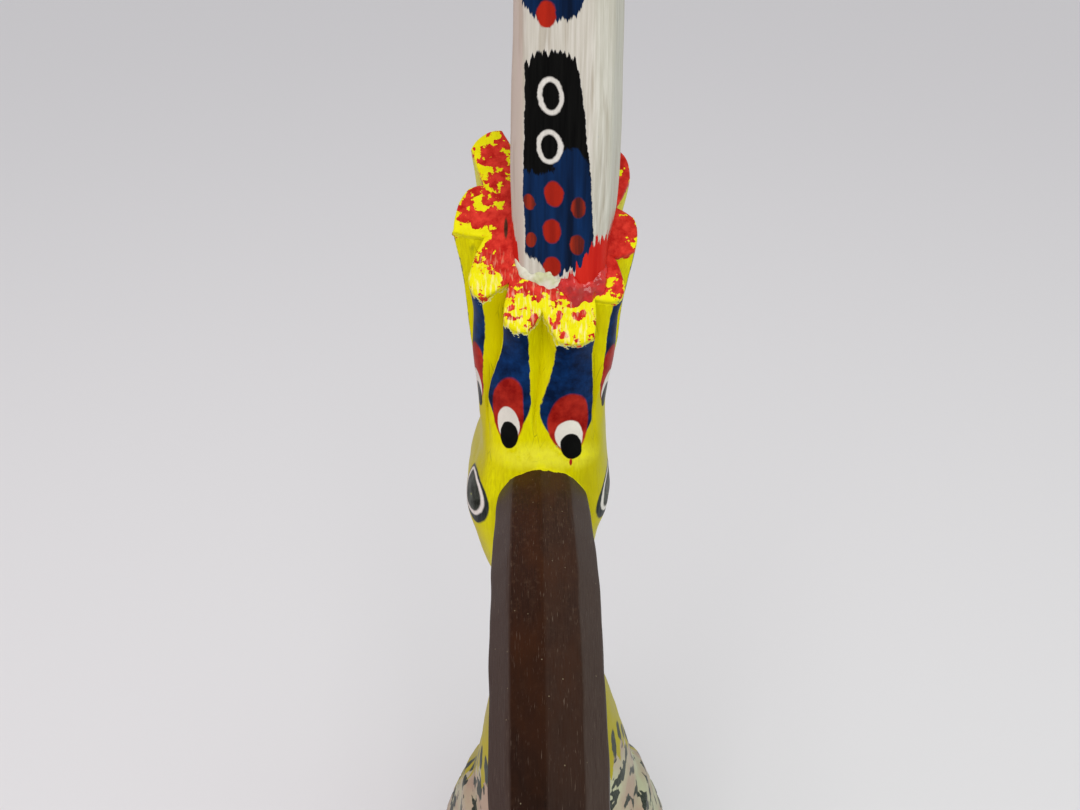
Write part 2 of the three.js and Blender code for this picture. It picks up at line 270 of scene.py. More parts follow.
def skin(ring, scale, lift, turn, reach, cut):
    """Points of the skin in millimetres as x, front, z, from its rings and the turn round them."""
    z, x, front, side, fore, aft, tilt, flute, square = (ring[..., k] for k in range(9))
    c, s = np.cos(turn), np.sin(turn)
    boxy = np.where(c < 0, CREST_BOXY_BACK * flute, 0)
    size = scale * (1 + flute ** 3 * (reach - 1)) * (1 - flute * cut)
    across = side * power(s, 2 / (square + boxy)) * size
    ahead = np.where(c > 0, fore, aft) * power(c, 2 / (square - boxy)) * size
    r = np.hypot(across, ahead) + 1e-6
    tail = np.where((lift > 0) | (z > NECK_FROM), 0.001, tail_reach(z))
    wedge = ((across / r / TAIL["half_wide"]) ** 4 + (ahead / r / tail) ** 4 + 1e-12) ** -0.25
    grown = np.where(c < 0, (r ** 8 + wedge ** 8) ** 0.125 / r, 1)
    across, ahead = across * grown, ahead * grown
    lean = CREST_LEAN * flute * np.maximum(0, -ahead)
    tilt = np.radians(tilt)
    out_front = front + ahead * np.cos(tilt) + lift * np.sin(tilt)
    out_z = z - ahead * np.sin(tilt) + lift * np.cos(tilt)
    wing = np.sign(across) * wing_relief(out_front, out_z)
    return np.stack((x + across + lean + wing, out_front, out_z), -1)


def skin_levels():
    """Ring values, scale and lift of every level, from the belly's pole to the middle of the crest."""
    first, last = np.array(RINGS[0], float), np.array(RINGS[-1], float)
    rows = []
    for a in np.radians(np.linspace(0, 90, RING_SPACING["belly"] + 1)[:-1]):
        row = first.copy()
        row[0] = first[0] - (first[0] - BELLY_BOTTOM) * math.cos(a)
        rows.append((row, math.sin(a) ** 0.9, 0))
    for gap, (low, high) in enumerate(zip(RINGS, RINGS[1:])):
        step = RING_SPACING["body"] if low[0] < HEAD_FROM else RING_SPACING["head"]
        count = round((high[0] - low[0]) / step)
        rows += [(along(RINGS, np.array(gap + i / count)), 1, 0) for i in range(count)]
    for i in range(RING_SPACING["face"] + 1):
        scale = 1 - (i / RING_SPACING["face"]) ** 1.6
        rows.append((last, scale, CREST_DOME * (1 - scale ** CREST_CORNER) ** (1 / CREST_CORNER)))
    return rows


def pulled_sphere(columns, rows):
    """A sphere with a row of points for each level, ready to be pulled to shape. Returns it with
    each point's level, from 0 at the lower pole, and its column, from 0 at the front."""
    bpy.ops.mesh.primitive_uv_sphere_add(segments=columns, ring_count=rows, radius=1)
    piece = bpy.context.object
    points = np.empty(len(piece.data.vertices) * 3)
    piece.data.vertices.foreach_get("co", points)
    x, y, z = points.reshape(-1, 3).T
    level = np.round((1 - np.arccos(np.clip(z, -1, 1)) / math.pi) * rows).astype(int)
    column = np.round(np.arctan2(x, -y) / (2 * math.pi) * columns).astype(int) % columns
    return piece, level, column


def set_points(piece, points_mm):
    """Moves the points to x, front, z in millimetres. Front is towards -Y."""
    x, front, z = points_mm.T
    piece.data.vertices.foreach_set("co", (np.stack((x, -front, z), -1) * MM).ravel())
    piece.data.update()


def rough_up(piece, points_mm, amount):
    """Pushes the points in and out along their normals, as hands leave a surface."""
    normals = np.empty(len(piece.data.vertices) * 3)
    piece.data.vertices.foreach_get("normal", normals)
    normals = normals.reshape(-1, 3) * (1, -1, 1)
    return points_mm + normals * amount[:, None]


def mark(piece, name, values):
    """Keeps a number or a vector with each point, for the paint to read."""
    kind, field = ("FLOAT_VECTOR", "vector") if values.ndim > 1 else ("FLOAT", "value")
    kept = piece.data.attributes.new(name, kind, "POINT")
    kept.data.foreach_set(field, values.ravel())


def corner_columns(piece, column, columns, level, top):
    """Each face corner's point, its face's first column, and its own column unwrapped, so that a
    face's corners lie side by side."""
    mesh = piece.data
    corner_point = np.empty(len(mesh.loops), int)
    mesh.loops.foreach_get("vertex_index", corner_point)
    start = np.empty(len(mesh.polygons), int)
    total = np.empty(len(mesh.polygons), int)
    mesh.polygons.foreach_get("loop_start", start)
    mesh.polygons.foreach_get("loop_total", total)
    face = np.repeat(np.arange(len(start)), total)
    col = column[corner_point].astype(float)
    pole = (level[corner_point] == 0) | (level[corner_point] == top)
    col[pole] = np.nan
    low = np.full(len(start), np.inf)
    high = np.full(len(start), -np.inf)
    np.fmin.at(low, face, col)
    np.fmax.at(high, face, col)
    wraps = high - low > columns / 2
    first = np.where(wraps, high, low)
    col = np.where(col < first[face] - 0.5, col + columns, col)
    col = np.where(pole, first[face] + 0.5, col)
    return corner_point, first[face], col


# Painted eyes on the ribs: the angle of each one's line down the head, the height of its white,
# and its width and height against the two at the front.
RIB_EYES = (
    (15.2, 427.8, 1.2, 0.92),
    (66, 441, 0.95, 0.9),
    (95, 446, 0.95, 0.9),
    (127, 449, 1, 0.95),
    (159, 451, 1, 0.95),
    (190, 451, 1, 0.95),
    (223, 450, 1, 0.95),
    (256, 446, 0.95, 0.9),
    (292, 441, 0.95, 0.9),
    (336.2, 431.8, 1, 1),
)


# Legs and toes: each toe's angle from straight ahead and its length.
SOLE, LEG_FRONT, LEG_SIDE, LEG_FOOT, LEG_TOP = 18.3, 10, 24, 21.3, 82
SHANK_RADIUS, THIGH_SWELL = 8, 3.5
TOES = ((-30, 29), (0, 32), (30, 29), (180, 17))
TOE_HALF_WIDE, TOE_AXIS_UP, TOE_BACK = 6, 3.3, 6


def leg(x):
    """A stout leg, thicker towards the belly."""
    columns, rows = 48, 40
    piece, level, column = pulled_sphere(columns, rows)
    turn = column / columns * 2 * math.pi
    t = level / rows
    z = LEG_FOOT + (LEG_TOP - LEG_FOOT) * t
    closed = np.minimum(1, np.minimum(t, 1 - t) * 12) ** 0.5
    radius = (SHANK_RADIUS + THIGH_SWELL * smooth((t - 0.25) / 0.4)) * closed
    points = np.stack((x + radius * np.sin(turn), LEG_FRONT + radius * np.cos(turn), z), -1)
    set_points(piece, points)
    return piece


def toe(x, angle, long):
    """A round toe, flat under the sole."""
    columns, rows = 28, 24
    piece, level, column = pulled_sphere(columns, rows)
    t = level / rows
    ahead = (long - TOE_BACK) / 2 + long / 2 * np.cos(np.pi * t)
    wide = np.sin(np.pi * t) ** 0.7 * TOE_HALF_WIDE
    turn = column / columns * 2 * math.pi
    across, up = wide * np.sin(turn), SOLE + TOE_AXIS_UP + wide * np.cos(turn)
    a = math.radians(angle)
    points = np.stack((
        x + ahead * math.sin(a) + across * math.cos(a),
        LEG_FRONT + ahead * math.cos(a) - across * math.sin(a),
        np.maximum(up, SOLE),
    ), -1)
    set_points(piece, points)
    return piece


def legs_and_feet():
    parts = []
    for side in (-1, 1):
        x = RINGS[0][1] + side * LEG_SIDE
        parts.append(leg(x))
        parts += [toe(x, angle, long) for angle, long in TOES]
    return parts


def join_closed(target, parts):
    """Unites closed parts with the target's skin."""
    for part in parts:
        bpy.ops.object.select_all(action="DESELECT")
        target.select_set(True)
        bpy.context.view_layer.objects.active = target
        union = target.modifiers.new("join", "BOOLEAN")
        union.operation = "UNION"
        union.solver = "MANIFOLD"
        union.object = part
        bpy.ops.object.modifier_apply(modifier=union.name)
        bpy.data.objects.remove(part)


def moulded_body():
    rows = skin_levels()
    top = len(rows) - 1
    columns = COLUMNS_A_RIB * len(RIBS)
    piece, level, column = pulled_sphere(columns, top)
    ring = np.array([row[0] for row in rows])
    scale = np.array([row[1] for row in rows], float)
    lift = np.array([row[2] for row in rows], float)
    turn, reach, cut, _ = across_rib(column, ring[level][:, 7])
    points = skin(ring[level], scale[level], lift[level], turn, reach, cut)
    set_points(piece, points)
    unevenness = sum(deep * lumps(points, size, 7 + i) for i, (size, deep) in enumerate(LUMP_SIZES))
    points = rough_up(piece, points, unevenness)
    set_points(piece, points)

    corner, first, col = corner_columns(piece, column, columns, level, top)
    rib_start = np.floor(first / COLUMNS_A_RIB)
    rib = (rib_start % len(RIBS)).astype(int)
    at = level[corner]
    flute = ring[at][:, 7]
    rib_middle = (rib_start + 0.5) * COLUMNS_A_RIB
    line, line_reach, _, _ = across_rib(rib_middle, flute)
    eye = np.array(RIB_EYES, float)[rib]
    eye_line = np.radians(eye[:, 0])
    to_rim = np.mod(line - eye_line + math.pi, 2 * math.pi) - math.pi
    line = eye_line + to_rim * smooth(flute / 0.9)
    apart = points[corner] - skin(ring[at], scale[at], lift[at], line, line_reach, 0 * line)
    corner_turn, _, _, across = across_rib(np.clip(col, first + 0.001, first + 0.999), flute)
    side = np.sign(np.mod(corner_turn - line + math.pi, 2 * math.pi) - math.pi)
    u = side * np.hypot(apart[:, 0], apart[:, 1]) / eye[:, 2]
    v = (points[corner][:, 2] - eye[:, 1]) / eye[:, 3]
    eye_map = piece.data.uv_layers[0]
    eye_map.name = "rib_eye"
    eye_map.data.foreach_set("uv", np.stack((u, v), -1).ravel())
    face_map = piece.data.uv_layers.new(name="rib_face")
    face_map.data.foreach_set("uv", np.stack((across, rib + 0.5), -1).ravel())

    order = np.argsort(column + columns * level, kind="stable")
    between_poles = order[(level[order] > 0) & (level[order] < top)]
    grid = points[between_poles].reshape(-1, columns, 3)
    strides = np.hypot(*np.moveaxis(np.diff(grid, axis=1, append=grid[:, :1]), -1, 0)[:2])
    around = np.concatenate((0 * strides[:, :1], np.cumsum(strides, axis=1)[:, :-1]), axis=1)
    from_front = np.minimum(around, strides.sum(axis=1, keepdims=True) - around)
    arc = np.zeros(len(points))
    arc[between_poles] = from_front.ravel()
    mark(piece, "from_front_mm", arc)

    rim_level = top - RING_SPACING["face"]
    inward = CREST_RADIUS * np.abs(np.diff(scale, prepend=scale[0]))
    upward = np.hypot(np.diff(ring[:, 0], prepend=ring[0, 0]), np.diff(lift, prepend=0))
    travelled = np.cumsum(np.hypot(inward, upward))
    mark(piece, "rim_mm", (travelled - travelled[rim_level])[level])
    return piece


body = moulded_body()
join_closed(body, legs_and_feet())


def wobbled(tree, at, place, waves, amount):
    """Coordinates shaken as by an unsteady hand, this many waves to the metre and this far."""
    noise = add(tree, "TexNoise", {"Scale": waves, "Detail": 3}, {"Vector": place})
    shift = add(tree, "VectorMath", {"operation": "SUBTRACT", 1: (0.5, 0.5, 0.5)},
                {0: noise.outputs["Color"]})
    return add(tree, "VectorMath", {"operation": "MULTIPLY_ADD", 1: (amount, amount, 0)}, {0: shift, 2: at})


def spot(tree, at, centre, half, soft=0.04, turned=0):
    """1 inside an ellipse or ellipsoid of the coordinates and 0 outside it."""
    local = add(tree, "Mapping",
                {"vector_type": "TEXTURE", "Location": centre, "Scale": half, "Rotation": (0, 0, turned)},
                {"Vector": at})
    far = add(tree, "VectorMath", {"operation": "LENGTH"}, {0: local})
    return add(tree, "MapRange", {"From Min": 1 + soft, "From Max": 1 - soft},
               {"Value": far.outputs["Value"]})


def coat(tree, under, mask, tones, streaks):
    """Lays paint over what is under it where the mask is 1, between two tones along its streaks."""
    paint = add(tree, "Mix", {"data_type": "RGBA", 6: linear(tones[0]), 7: linear(tones[1])}, {0: streaks})
    return add(tree, "Mix", {"data_type": "RGBA"}, {0: mask, 6: under, 7: paint.outputs[2]}).outputs[2]


def overlap(tree, *masks):
    """1 only where every mask is 1."""
    shared = masks[0]
    for mask in masks[1:]:
        shared = add(tree, "Math", {"operation": "MULTIPLY"}, {0: shared, 1: mask})
    return shared


def patches(tree, at, scale, low, high, most=1, **noise):
    """Soft patches from 0 to most, where a noise rises from low to high."""
    if isinstance(scale, tuple):
        at, scale = add(tree, "Mapping", {"Scale": scale}, {"Vector": at}), 1
    chance = add(tree, "TexNoise", {"Scale": scale, "Detail": 3, **noise}, {"Vector": at})
    return add(tree, "MapRange", {"From Min": low, "From Max": high, "To Max": most}, {"Value": chance})


def bristle_marks(tree, place, across, lengthwise, contrast):
    """Fine streaks left by the brush, between 0 and 1, so many to the metre each way."""
    return patches(tree, place, (across, across, lengthwise), 0.5 - contrast, 0.5 + contrast, Roughness=0.6)


def specks(tree, at, scale, edge, middle, bare, most):
    """Small round specks, in all the cells but this share."""
    cells = add(tree, "TexVoronoi", {"Scale": scale}, {"Vector": at})
    speck = add(tree, "MapRange", {"From Min": edge, "From Max": middle, "To Max": most},
                {"Value": cells.outputs["Distance"]})
    chance = add(tree, "SeparateColor", {}, {0: cells.outputs["Color"]})
    kept = add(tree, "Math", {"operation": "GREATER_THAN", 1: bare}, {0: chance})
    return overlap(tree, speck, kept)


def deep_sheen(tree, shader, colour):
    """A low sheen that takes most of its colour from the paint or stain."""
    shader.inputs["Specular IOR Level"].default_value = 0.13
    sheen = add(tree, "Mix", {"data_type": "RGBA", 0: 0.7, 6: (1, 1, 1, 1)}, {7: colour})
    link(tree, shader, {"Specular Tint": sheen.outputs[2]})


# Belly: cream and pale green, blotched with grey-green, and below the yellow a row of upright drops.
DROP_STEP, DROP_HALF = 9.2, (2.6, 7, 1)


def belly_paint(tree, colour, place, arc, streaks):
    mm = add(tree, "VectorMath", {"operation": "SCALE", "Scale": 1000}, {0: place})
    parts = add(tree, "SeparateXYZ", {}, {0: mm})
    sweep = add(tree, "MapRange", {"From Min": -20, "From Max": 20, "To Min": 247, "To Max": 178},
                {"Value": parts.outputs["Y"]})
    line = add(tree, "Math", {"operation": "MULTIPLY_ADD", 1: 0.3}, {0: parts.outputs["X"], 2: sweep})
    above = add(tree, "Math", {"operation": "SUBTRACT"}, {0: parts.outputs["Z"], 1: line})
    step = add(tree, "Math", {"operation": "WRAP", 1: DROP_STEP / 2, 2: -DROP_STEP / 2}, {0: arc})
    in_step = add(tree, "CombineXYZ", {}, {"X": step, "Y": above})
    shaken = wobbled(tree, in_step, place, 160, 4)
    apart = add(tree, "Math", {"operation": "ABSOLUTE"}, {0: step})
    ragged = add(tree, "TexNoise", {"Scale": 420, "Detail": 3}, {"Vector": place})
    reach = add(tree, "Math", {"operation": "MULTIPLY_ADD", 1: 2.6}, {0: apart, 2: above})
    reach = add(tree, "Math", {"operation": "MULTIPLY_ADD", 1: 9}, {0: ragged, 2: reach})
    cream = add(tree, "MapRange", {"From Min": 2.8, "From Max": 2.0}, {"Value": reach})
    tint = patches(tree, place, 45, 0.4, 0.62)
    colour = coat(tree, colour, cream, ("#b3b394", "#ab9481"), tint)
    blotch = patches(tree, place, 125, 0.55, 0.57, Detail=2, Distortion=0.2)
    below = add(tree, "MapRange", {"From Min": -5, "From Max": -8}, {"Value": above})
    drop = spot(tree, shaken, (0, 0, 0), DROP_HALF, 0.1)
    marks = add(tree, "Math", {"operation": "MAXIMUM"}, {0: overlap(tree, blotch, cream, below), 1: drop})
    colour = coat(tree, colour, marks, ("#262b24", "#434840"), streaks)
    hem = add(tree, "Math", {"operation": "MULTIPLY_ADD", 1: 8}, {0: ragged, 2: parts.outputs["Z"]})
    legs = add(tree, "MapRange", {"From Min": 62.6, "From Max": 62}, {"Value": hem})
    return coat(tree, colour, legs, ("#c2ae08", "#a8950e"), streaks)


# Ribs: down each one a dark-blue stripe with a red tongue, and over its end a white eye with a
# black pupil. Each is painted in millimetres from the middle of its own eye's white.
def rib_eyes(tree, colour, place, across, before_rim, streaks):
    eye = add(tree, "UVMap", {"uv_map": "rib_eye"})
    drawn = wobbled(tree, wobbled(tree, eye, place, 75, 2), place, 500, 0.35)
    height = add(tree, "SeparateXYZ", {}, {0: drawn}).outputs["Y"]
    high = add(tree, "MapRange", {"From Min": 13.8, "From Max": 14.2}, {"Value": height})
    round_end = spot(tree, drawn, (0.4, 14, 0), (8.4, 16, 1), 0.02)
    stripe = add(tree, "Math", {"operation": "MAXIMUM"}, {0: high, 1: round_end})
    stripe = overlap(tree, stripe, across, before_rim)
    colour = coat(tree, colour, stripe, ("#031431", "#0a2f60"), streaks)
    tongue = overlap(tree, spot(tree, drawn, (0.1, 5.5, 0), (5.6, 11.5, 1)), across)
    colour = coat(tree, colour, tongue, ("#7d0c08", "#a8271a"), streaks)
    white = spot(tree, drawn, (0.2, 0.2, 0), (3.8, 6.1, 1))
    colour = coat(tree, colour, white, ("#d9d4c9", "#ccc7bd"), streaks)
    black = spot(tree, drawn, (0.4, -3.5, 0), (3.05, 4.6, 1))
    return coat(tree, colour, black, ("#040404", "#0c0c0b"), streaks), black


# Side eyes: a slanted almond on each cheek, a smoky pupil in a white ring in a dark outline. Their
# arc is measured round the head from the front, and the left one is further back.
EYE_ARC, EYE_Z, EYE_SET_BACK, EYE_SLANT = 21.6, 400.8, 13, math.radians(-32)


def side_eyes(tree, colour, place, arc, streaks):
    parts = add(tree, "SeparateXYZ", {}, {0: place})
    left = add(tree, "Math", {"operation": "GREATER_THAN", 1: -0.006}, {0: parts.outputs["X"]})
    arc = add(tree, "Math", {"operation": "MULTIPLY_ADD", 1: -EYE_SET_BACK}, {0: left, 2: arc})
    up = add(tree, "Math", {"operation": "MULTIPLY", 1: 1000}, {0: parts.outputs["Z"]})
    cheek = add(tree, "CombineXYZ", {}, {"X": arc, "Y": up})
    drawn = wobbled(tree, wobbled(tree, cheek, place, 90, 2.6), place, 500, 0.4)
    outline = spot(tree, drawn, (EYE_ARC - 0.4, EYE_Z + 0.1, 0), (7.9, 10.3, 1), turned=EYE_SLANT)
    ring = spot(tree, drawn, (EYE_ARC + 0.45, EYE_Z + 0.8, 0), (6.8, 8.2, 1), turned=EYE_SLANT)
    pupil = spot(tree, drawn, (EYE_ARC + 0.6, EYE_Z + 1.1, 0), (5.5, 6.8, 1), 0.06, EYE_SLANT)
    smoke = patches(tree, place, 260, 0.35, 0.7)
    colour = coat(tree, colour, outline, ("#15191b", "#343a38"), streaks)
    colour = coat(tree, colour, ring, ("#d8d2cc", "#cfc8bf"), streaks)
    return coat(tree, colour, pupil, ("#15170f", "#4f534c"), smoke)


# Crest: the face is dabbed with yellow and red in ragged patches, redder round the plume and behind, with
# pale strokes of a dry brush on the front ribs that are also painted glints, and a dark brown slit by the
# plume, painted as bare wood with the shade inside it.
PLUME_FOOT = (0.0015, -0.012, 0.4885)
SLOT_PLACE = (-0.0166, -0.0129, 0.4913)


def crest_dabs(tree, colour, place, inside_rim, streaks):
    patch = add(tree, "TexNoise", {"Scale": 175, "Detail": 2, "Distortion": 0.5}, {"Vector": place})
    fray = add(tree, "TexNoise", {"Scale": 380, "Detail": 4, "Roughness": 0.65}, {"Vector": place})
    red = add(tree, "Math", {"operation": "MULTIPLY_ADD", 1: 0.85}, {0: fray, 2: patch})
    from_plume = add(tree, "VectorMath", {"operation": "DISTANCE", 1: PLUME_FOOT}, {0: place})
    near = add(tree, "MapRange", {"From Min": 0.026, "From Max": 0.017, "To Max": 0.24},
               {"Value": from_plume.outputs["Value"]})
    facing = add(tree, "VectorMath", {"operation": "DOT_PRODUCT", 1: (-0.34, -0.94, 0)}, {0: place})
    behind = add(tree, "MapRange", {"From Min": 0.036, "From Max": -0.02, "To Min": -0.045, "To Max": 0.08},
                 {"Value": facing.outputs["Value"]})
    rim = add(tree, "MapRange", {"From Min": 0.5, "From Max": 4.5, "To Min": -0.1, "To Max": 0},
              {"Value": inside_rim})
    for more in (near, behind, rim):
        red = add(tree, "Math", {"operation": "ADD"}, {0: red, 1: more})
    red = add(tree, "MapRange", {"From Min": 0.908, "From Max": 0.926}, {"Value": red})
    strokes = bristle_marks(tree, place, 420, 420, 0.2)
    # Pale dry-brush strokes on the front ribs, which also serve as painted glints on their ridges.
    dry_brush_and_glints = patches(tree, place, (1300, 260, 260), 0.52, 0.66, 0.7)
    front = add(tree, "MapRange", {"From Min": 0.022, "From Max": 0.036}, {"Value": facing.outputs["Value"]})
    face = add(tree, "Math", {"operation": "MULTIPLY_ADD", 1: 10}, {0: fray, 2: inside_rim})
    lip = add(tree, "MapRange", {"From Min": 3.9, "From Max": 4.2}, {"Value": face})
    face = add(tree, "MapRange", {"From Min": 4.6, "From Max": 4.9}, {"Value": face})
    colour = coat(tree, colour, overlap(tree, lip, front), ("#dcdcc0", "#c9cc6a"), strokes)
    colour = coat(tree, colour, face, ("#e2dc10", "#d6ce00"), strokes)
    colour = coat(tree, colour, overlap(tree, red, face), ("#a5120d", "#d63a2c"), strokes)
    colour = coat(tree, colour, overlap(tree, dry_brush_and_glints, front, face), ("#f2ee9c", "#f0cfc0"), streaks)
    # A dark brown slit painted by the plume: bare wood, with the shade inside a gap painted into it.
    slit_wood_and_shade = spot(tree, place, SLOT_PLACE, (0.0006, 0.0034, 0.0034), 0.2)
    return coat(tree, colour, slit_wood_and_shade, ("#2a1710", "#5b3524"), strokes)


# Enamel brushed by hand on papier-mache: satin yellow with bristle streaks and thin places where the ground
# shows, the painted marks over it, and hairline cracks and dirt in the grooves. Shade is painted low on the
# neck and on the cheeks, and a highlight above the bill.
def body_enamel():
    paint, tree, shader, place = new_paint("enamel brushed on papier-mache")
    streaks = bristle_marks(tree, place, 1300, 90, 0.16)
    arc = add(tree, "Attribute", {"attribute_name": "from_front_mm"}).outputs["Fac"]
    inside_rim = add(tree, "Attribute", {"attribute_name": "rim_mm"}).outputs["Fac"]
    face = add(tree, "UVMap", {"uv_map": "rib_face"})
    face = wobbled(tree, face, place, 500, 0.16)
    across = add(tree, "SeparateXYZ", {}, {0: face}).outputs["X"]
    across = add(tree, "Math", {"operation": "ABSOLUTE"}, {0: across})
    on_rib = add(tree, "MapRange", {"From Min": 1.03, "From Max": 0.98}, {"Value": across})
    before_rim = add(tree, "MapRange", {"From Min": 0.6, "From Max": 0.2}, {"Value": inside_rim})

    cloud = patches(tree, place, 55, 0.38, 0.68, Detail=4)
    yellow = add(tree, "Mix", {"data_type": "RGBA", 6: linear("#d6d200"), 7: linear("#c2ba00")}, {0: streaks})
    thin = add(tree, "Math", {"operation": "MULTIPLY", 1: 0.5}, {0: cloud})
    colour = coat(tree, yellow.outputs[2], thin, ("#c9b800", "#d9cc06"), streaks)

    crack_place = add(tree, "Mapping", {"Scale": (420, 420, 60)}, {"Vector": place})
    cracks = add(tree, "TexVoronoi", {"feature": "DISTANCE_TO_EDGE", "Scale": 1}, {"Vector": crack_place})
    cracks = add(tree, "MapRange", {"From Min": 0.035, "From Max": 0.012}, {"Value": cracks})
    groove = add(tree, "MapRange", {"From Min": 1.0, "From Max": 1.4, "To Max": 0.75}, {"Value": across})
    worn = patches(tree, place, 90, 0.5, 0.62, Detail=2)
    in_groove = overlap(tree, cracks, groove, worn)
    colour = coat(tree, colour, in_groove, ("#8a8a10", "#6b6a14"), streaks)

    height = add(tree, "SeparateXYZ", {}, {0: place}).outputs["Z"]
    # Painted shade: the yellow is darkened to a dull ochre downwards from the neck, as the head and bill
    # shade it.
    low = add(tree, "MapRange", {"From Min": 0.37, "From Max": 0.27, "To Max": 0.9}, {"Value": height})
    colour = coat(tree, colour, low, ("#8d7d12", "#a09322"), cloud)
    # Painted shade: below the crest the sides of the head are darkened to ochre, as they turn from the light.
    cheek = add(tree, "MapRange", {"From Min": 14, "From Max": 18.5, "To Max": 0.7}, {"Value": arc})
    below_crest = add(tree, "MapRange", {"From Min": 0.452, "From Max": 0.438}, {"Value": height})
    colour = coat(tree, colour, overlap(tree, cheek, below_crest), ("#a79a00", "#b4a712"), cloud)
    colour = side_eyes(tree, colour, place, arc, streaks)
    mottle = patches(tree, place, 190, 0.36, 0.66, Detail=5, Roughness=0.65)
    # Painted highlight: a pale arc on the front of the head just above the bill.
    painted_highlight_arc = spot(tree, place, (-0.004, -0.0385, 0.421), (0.016, 0.009, 0.004), 0.5)
    colour = coat(tree, colour, overlap(tree, painted_highlight_arc, mottle), ("#efeb5c", "#e2de1e"), mottle)
    colour, black = rib_eyes(tree, colour, place, on_rib, before_rim, mottle)
    colour = crest_dabs(tree, colour, place, inside_rim, streaks)
    colour = belly_paint(tree, colour, place, arc, streaks)

    pale = specks(tree, place, 170, 0.085, 0.05, 0.86, 0.7)
    colour = coat(tree, colour, pale, ("#b9bd58", "#8d8f58"), streaks)
    fleck = spot(tree, place, (0.0042, -0.0375, 0.4194), (0.0005, 0.004, 0.0012), 0.2)
    colour = coat(tree, colour, fleck, ("#b0301c", "#8f1c14"), streaks)

    relief = add(tree, "Math", {"operation": "MULTIPLY_ADD", 1: -2.5}, {0: in_groove, 2: streaks})
    bump = add(tree, "Bump", {"Strength": 0.35, "Distance": 0.00008}, {"Height": relief})
    gloss = add(tree, "MapRange", {"To Min": 0.36, "To Max": 0.5}, {"Value": cloud})
    gloss = add(tree, "Math", {"operation": "MULTIPLY_ADD", 1: -0.08}, {0: black, 2: gloss})
    deep_sheen(tree, shader, colour)
    link(tree, shader, {"Base Color": colour, "Normal": bump, "Roughness": gloss})
    return paint


finish_piece(body, "moulded_body", body_enamel(), 32)
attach(body, "root")
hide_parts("body")


# Bill
# A stick of wood whittled to ten long flats that curves down to a blunt tip, stained dark brown.
# Its butt is pushed into the head, and the yellow enamel laps over the joint.
BILL_TURN, BILL_SIDES, BILL_RADIUS = 4, 10, 16
BILL_CRISP, BUTT_CRISP, BUTT_ROUNDED = 90, 20, (38, 70)
# How far each flat of the bill is lightened as a painted sheen, in turn round it.
BILL_FLAT_SHEEN = (0, 0.85, 0.6, 0.3, 0.5, 0.2, 0.6, 0.8, 0.9, 0.25)
BILL_WAVES = ((38, 0.16), (15, 0.06))

# Its sections, from the butt: place to the front, height, place across, half width, half height.
BILL = (
    (22, 401, -5, 13.5, 13),
    (39, 401.8, -5, 16, 16),
    (67, 402.5, -4.5, 17, 16),
    (101, 400, -4, 16.8, 14.8),
    (129, 394.5, -3.7, 16.2, 13.2),
    (147, 389, -3.5, 15.4, 12),
    (167, 380.5, -3.4, 13.6, 10.4),
    (187, 368.5, -3.1, 10.8, 8.4),
    (202, 357, -2.9, 7.4, 6.2),
    (210, 349.5, -2.8, 4.2, 3.8),
)
BILL_TIP = (211.5, 347.2, -2.8)


def whittled_round(angle, flats, crisp, depth):
    """How far a whittled stick's surface is from its axis: the flats meet in slightly soft arrises."""
    total = sum(np.maximum(1e-9, np.cos(angle - at) / far) ** crisp for at, far in zip(flats, depth))
    return total ** (-1 / crisp)


def whittled_bill():
    columns, rows = 120, 250
    piece, level, column = pulled_sphere(columns, rows)
    t = level / rows
    last = len(BILL) - 1
    butt_end, tip_start = 0.03, 0.975
    at = np.clip(last * (t - butt_end) / (tip_start - butt_end), 0, last)
    s = along(BILL, at)
    ahead = along(BILL, np.clip(at + 0.1, 0, last)) - along(BILL, np.clip(at - 0.1, 0, last))
    slope = np.arctan2(ahead[:, 1], ahead[:, 0])
    angle = column / columns * 2 * math.pi + math.radians(BILL_TURN)
    axis = np.stack((s[:, 2], s[:, 0], s[:, 1]), -1)
    flats = [math.radians(BILL_TURN + (k + 0.5) * 360 / BILL_SIDES) for k in range(BILL_SIDES)]
    chance = np.random.default_rng(3)
    depth = []
    for k in range(BILL_SIDES):
        wave = 0
        for size, deep in BILL_WAVES:
            turns = s[:, 0] / size * 2 * math.pi * chance.uniform(0.7, 1.3)
            wave = wave + deep * np.sin(turns + chance.uniform(0, 6.3))
        depth.append(math.cos(math.pi / BILL_SIDES) + wave / BILL_RADIUS)
    r = whittled_round(angle, flats, np.interp(s[:, 0], BUTT_ROUNDED, (BUTT_CRISP, BILL_CRISP)), depth)
    tip = np.clip((t - tip_start) / (1 - tip_start), 0, 1)
    r = r * np.where(t < butt_end, t / butt_end, np.sqrt(np.clip(1 - tip ** 2, 0, 1)))
    up, out = s[:, 4] * r * np.cos(angle), s[:, 3] * r * np.sin(angle)
    points = axis + np.stack((-out, -up * np.sin(slope), up * np.cos(slope)), -1)
    points += tip[:, None] * (np.array((BILL_TIP[2], BILL_TIP[0], BILL_TIP[1])) - axis)
    set_points(piece, points)

    line = along(BILL, np.linspace(0, last, 400))[:, :2]
    run = np.concatenate(([0], np.cumsum(np.hypot(*np.diff(line, axis=0).T))))
    length = np.interp(at, np.linspace(0, last, 400), run)
    mark(piece, "straightened_mm", np.stack((out, up, length), -1))
    each = np.floor(np.degrees(angle - flats[0]) / (360 / BILL_SIDES) + 0.5).astype(int) % BILL_SIDES
    mark(piece, "painted_flat_sheen", np.array(BILL_FLAT_SHEEN)[each])
    return piece
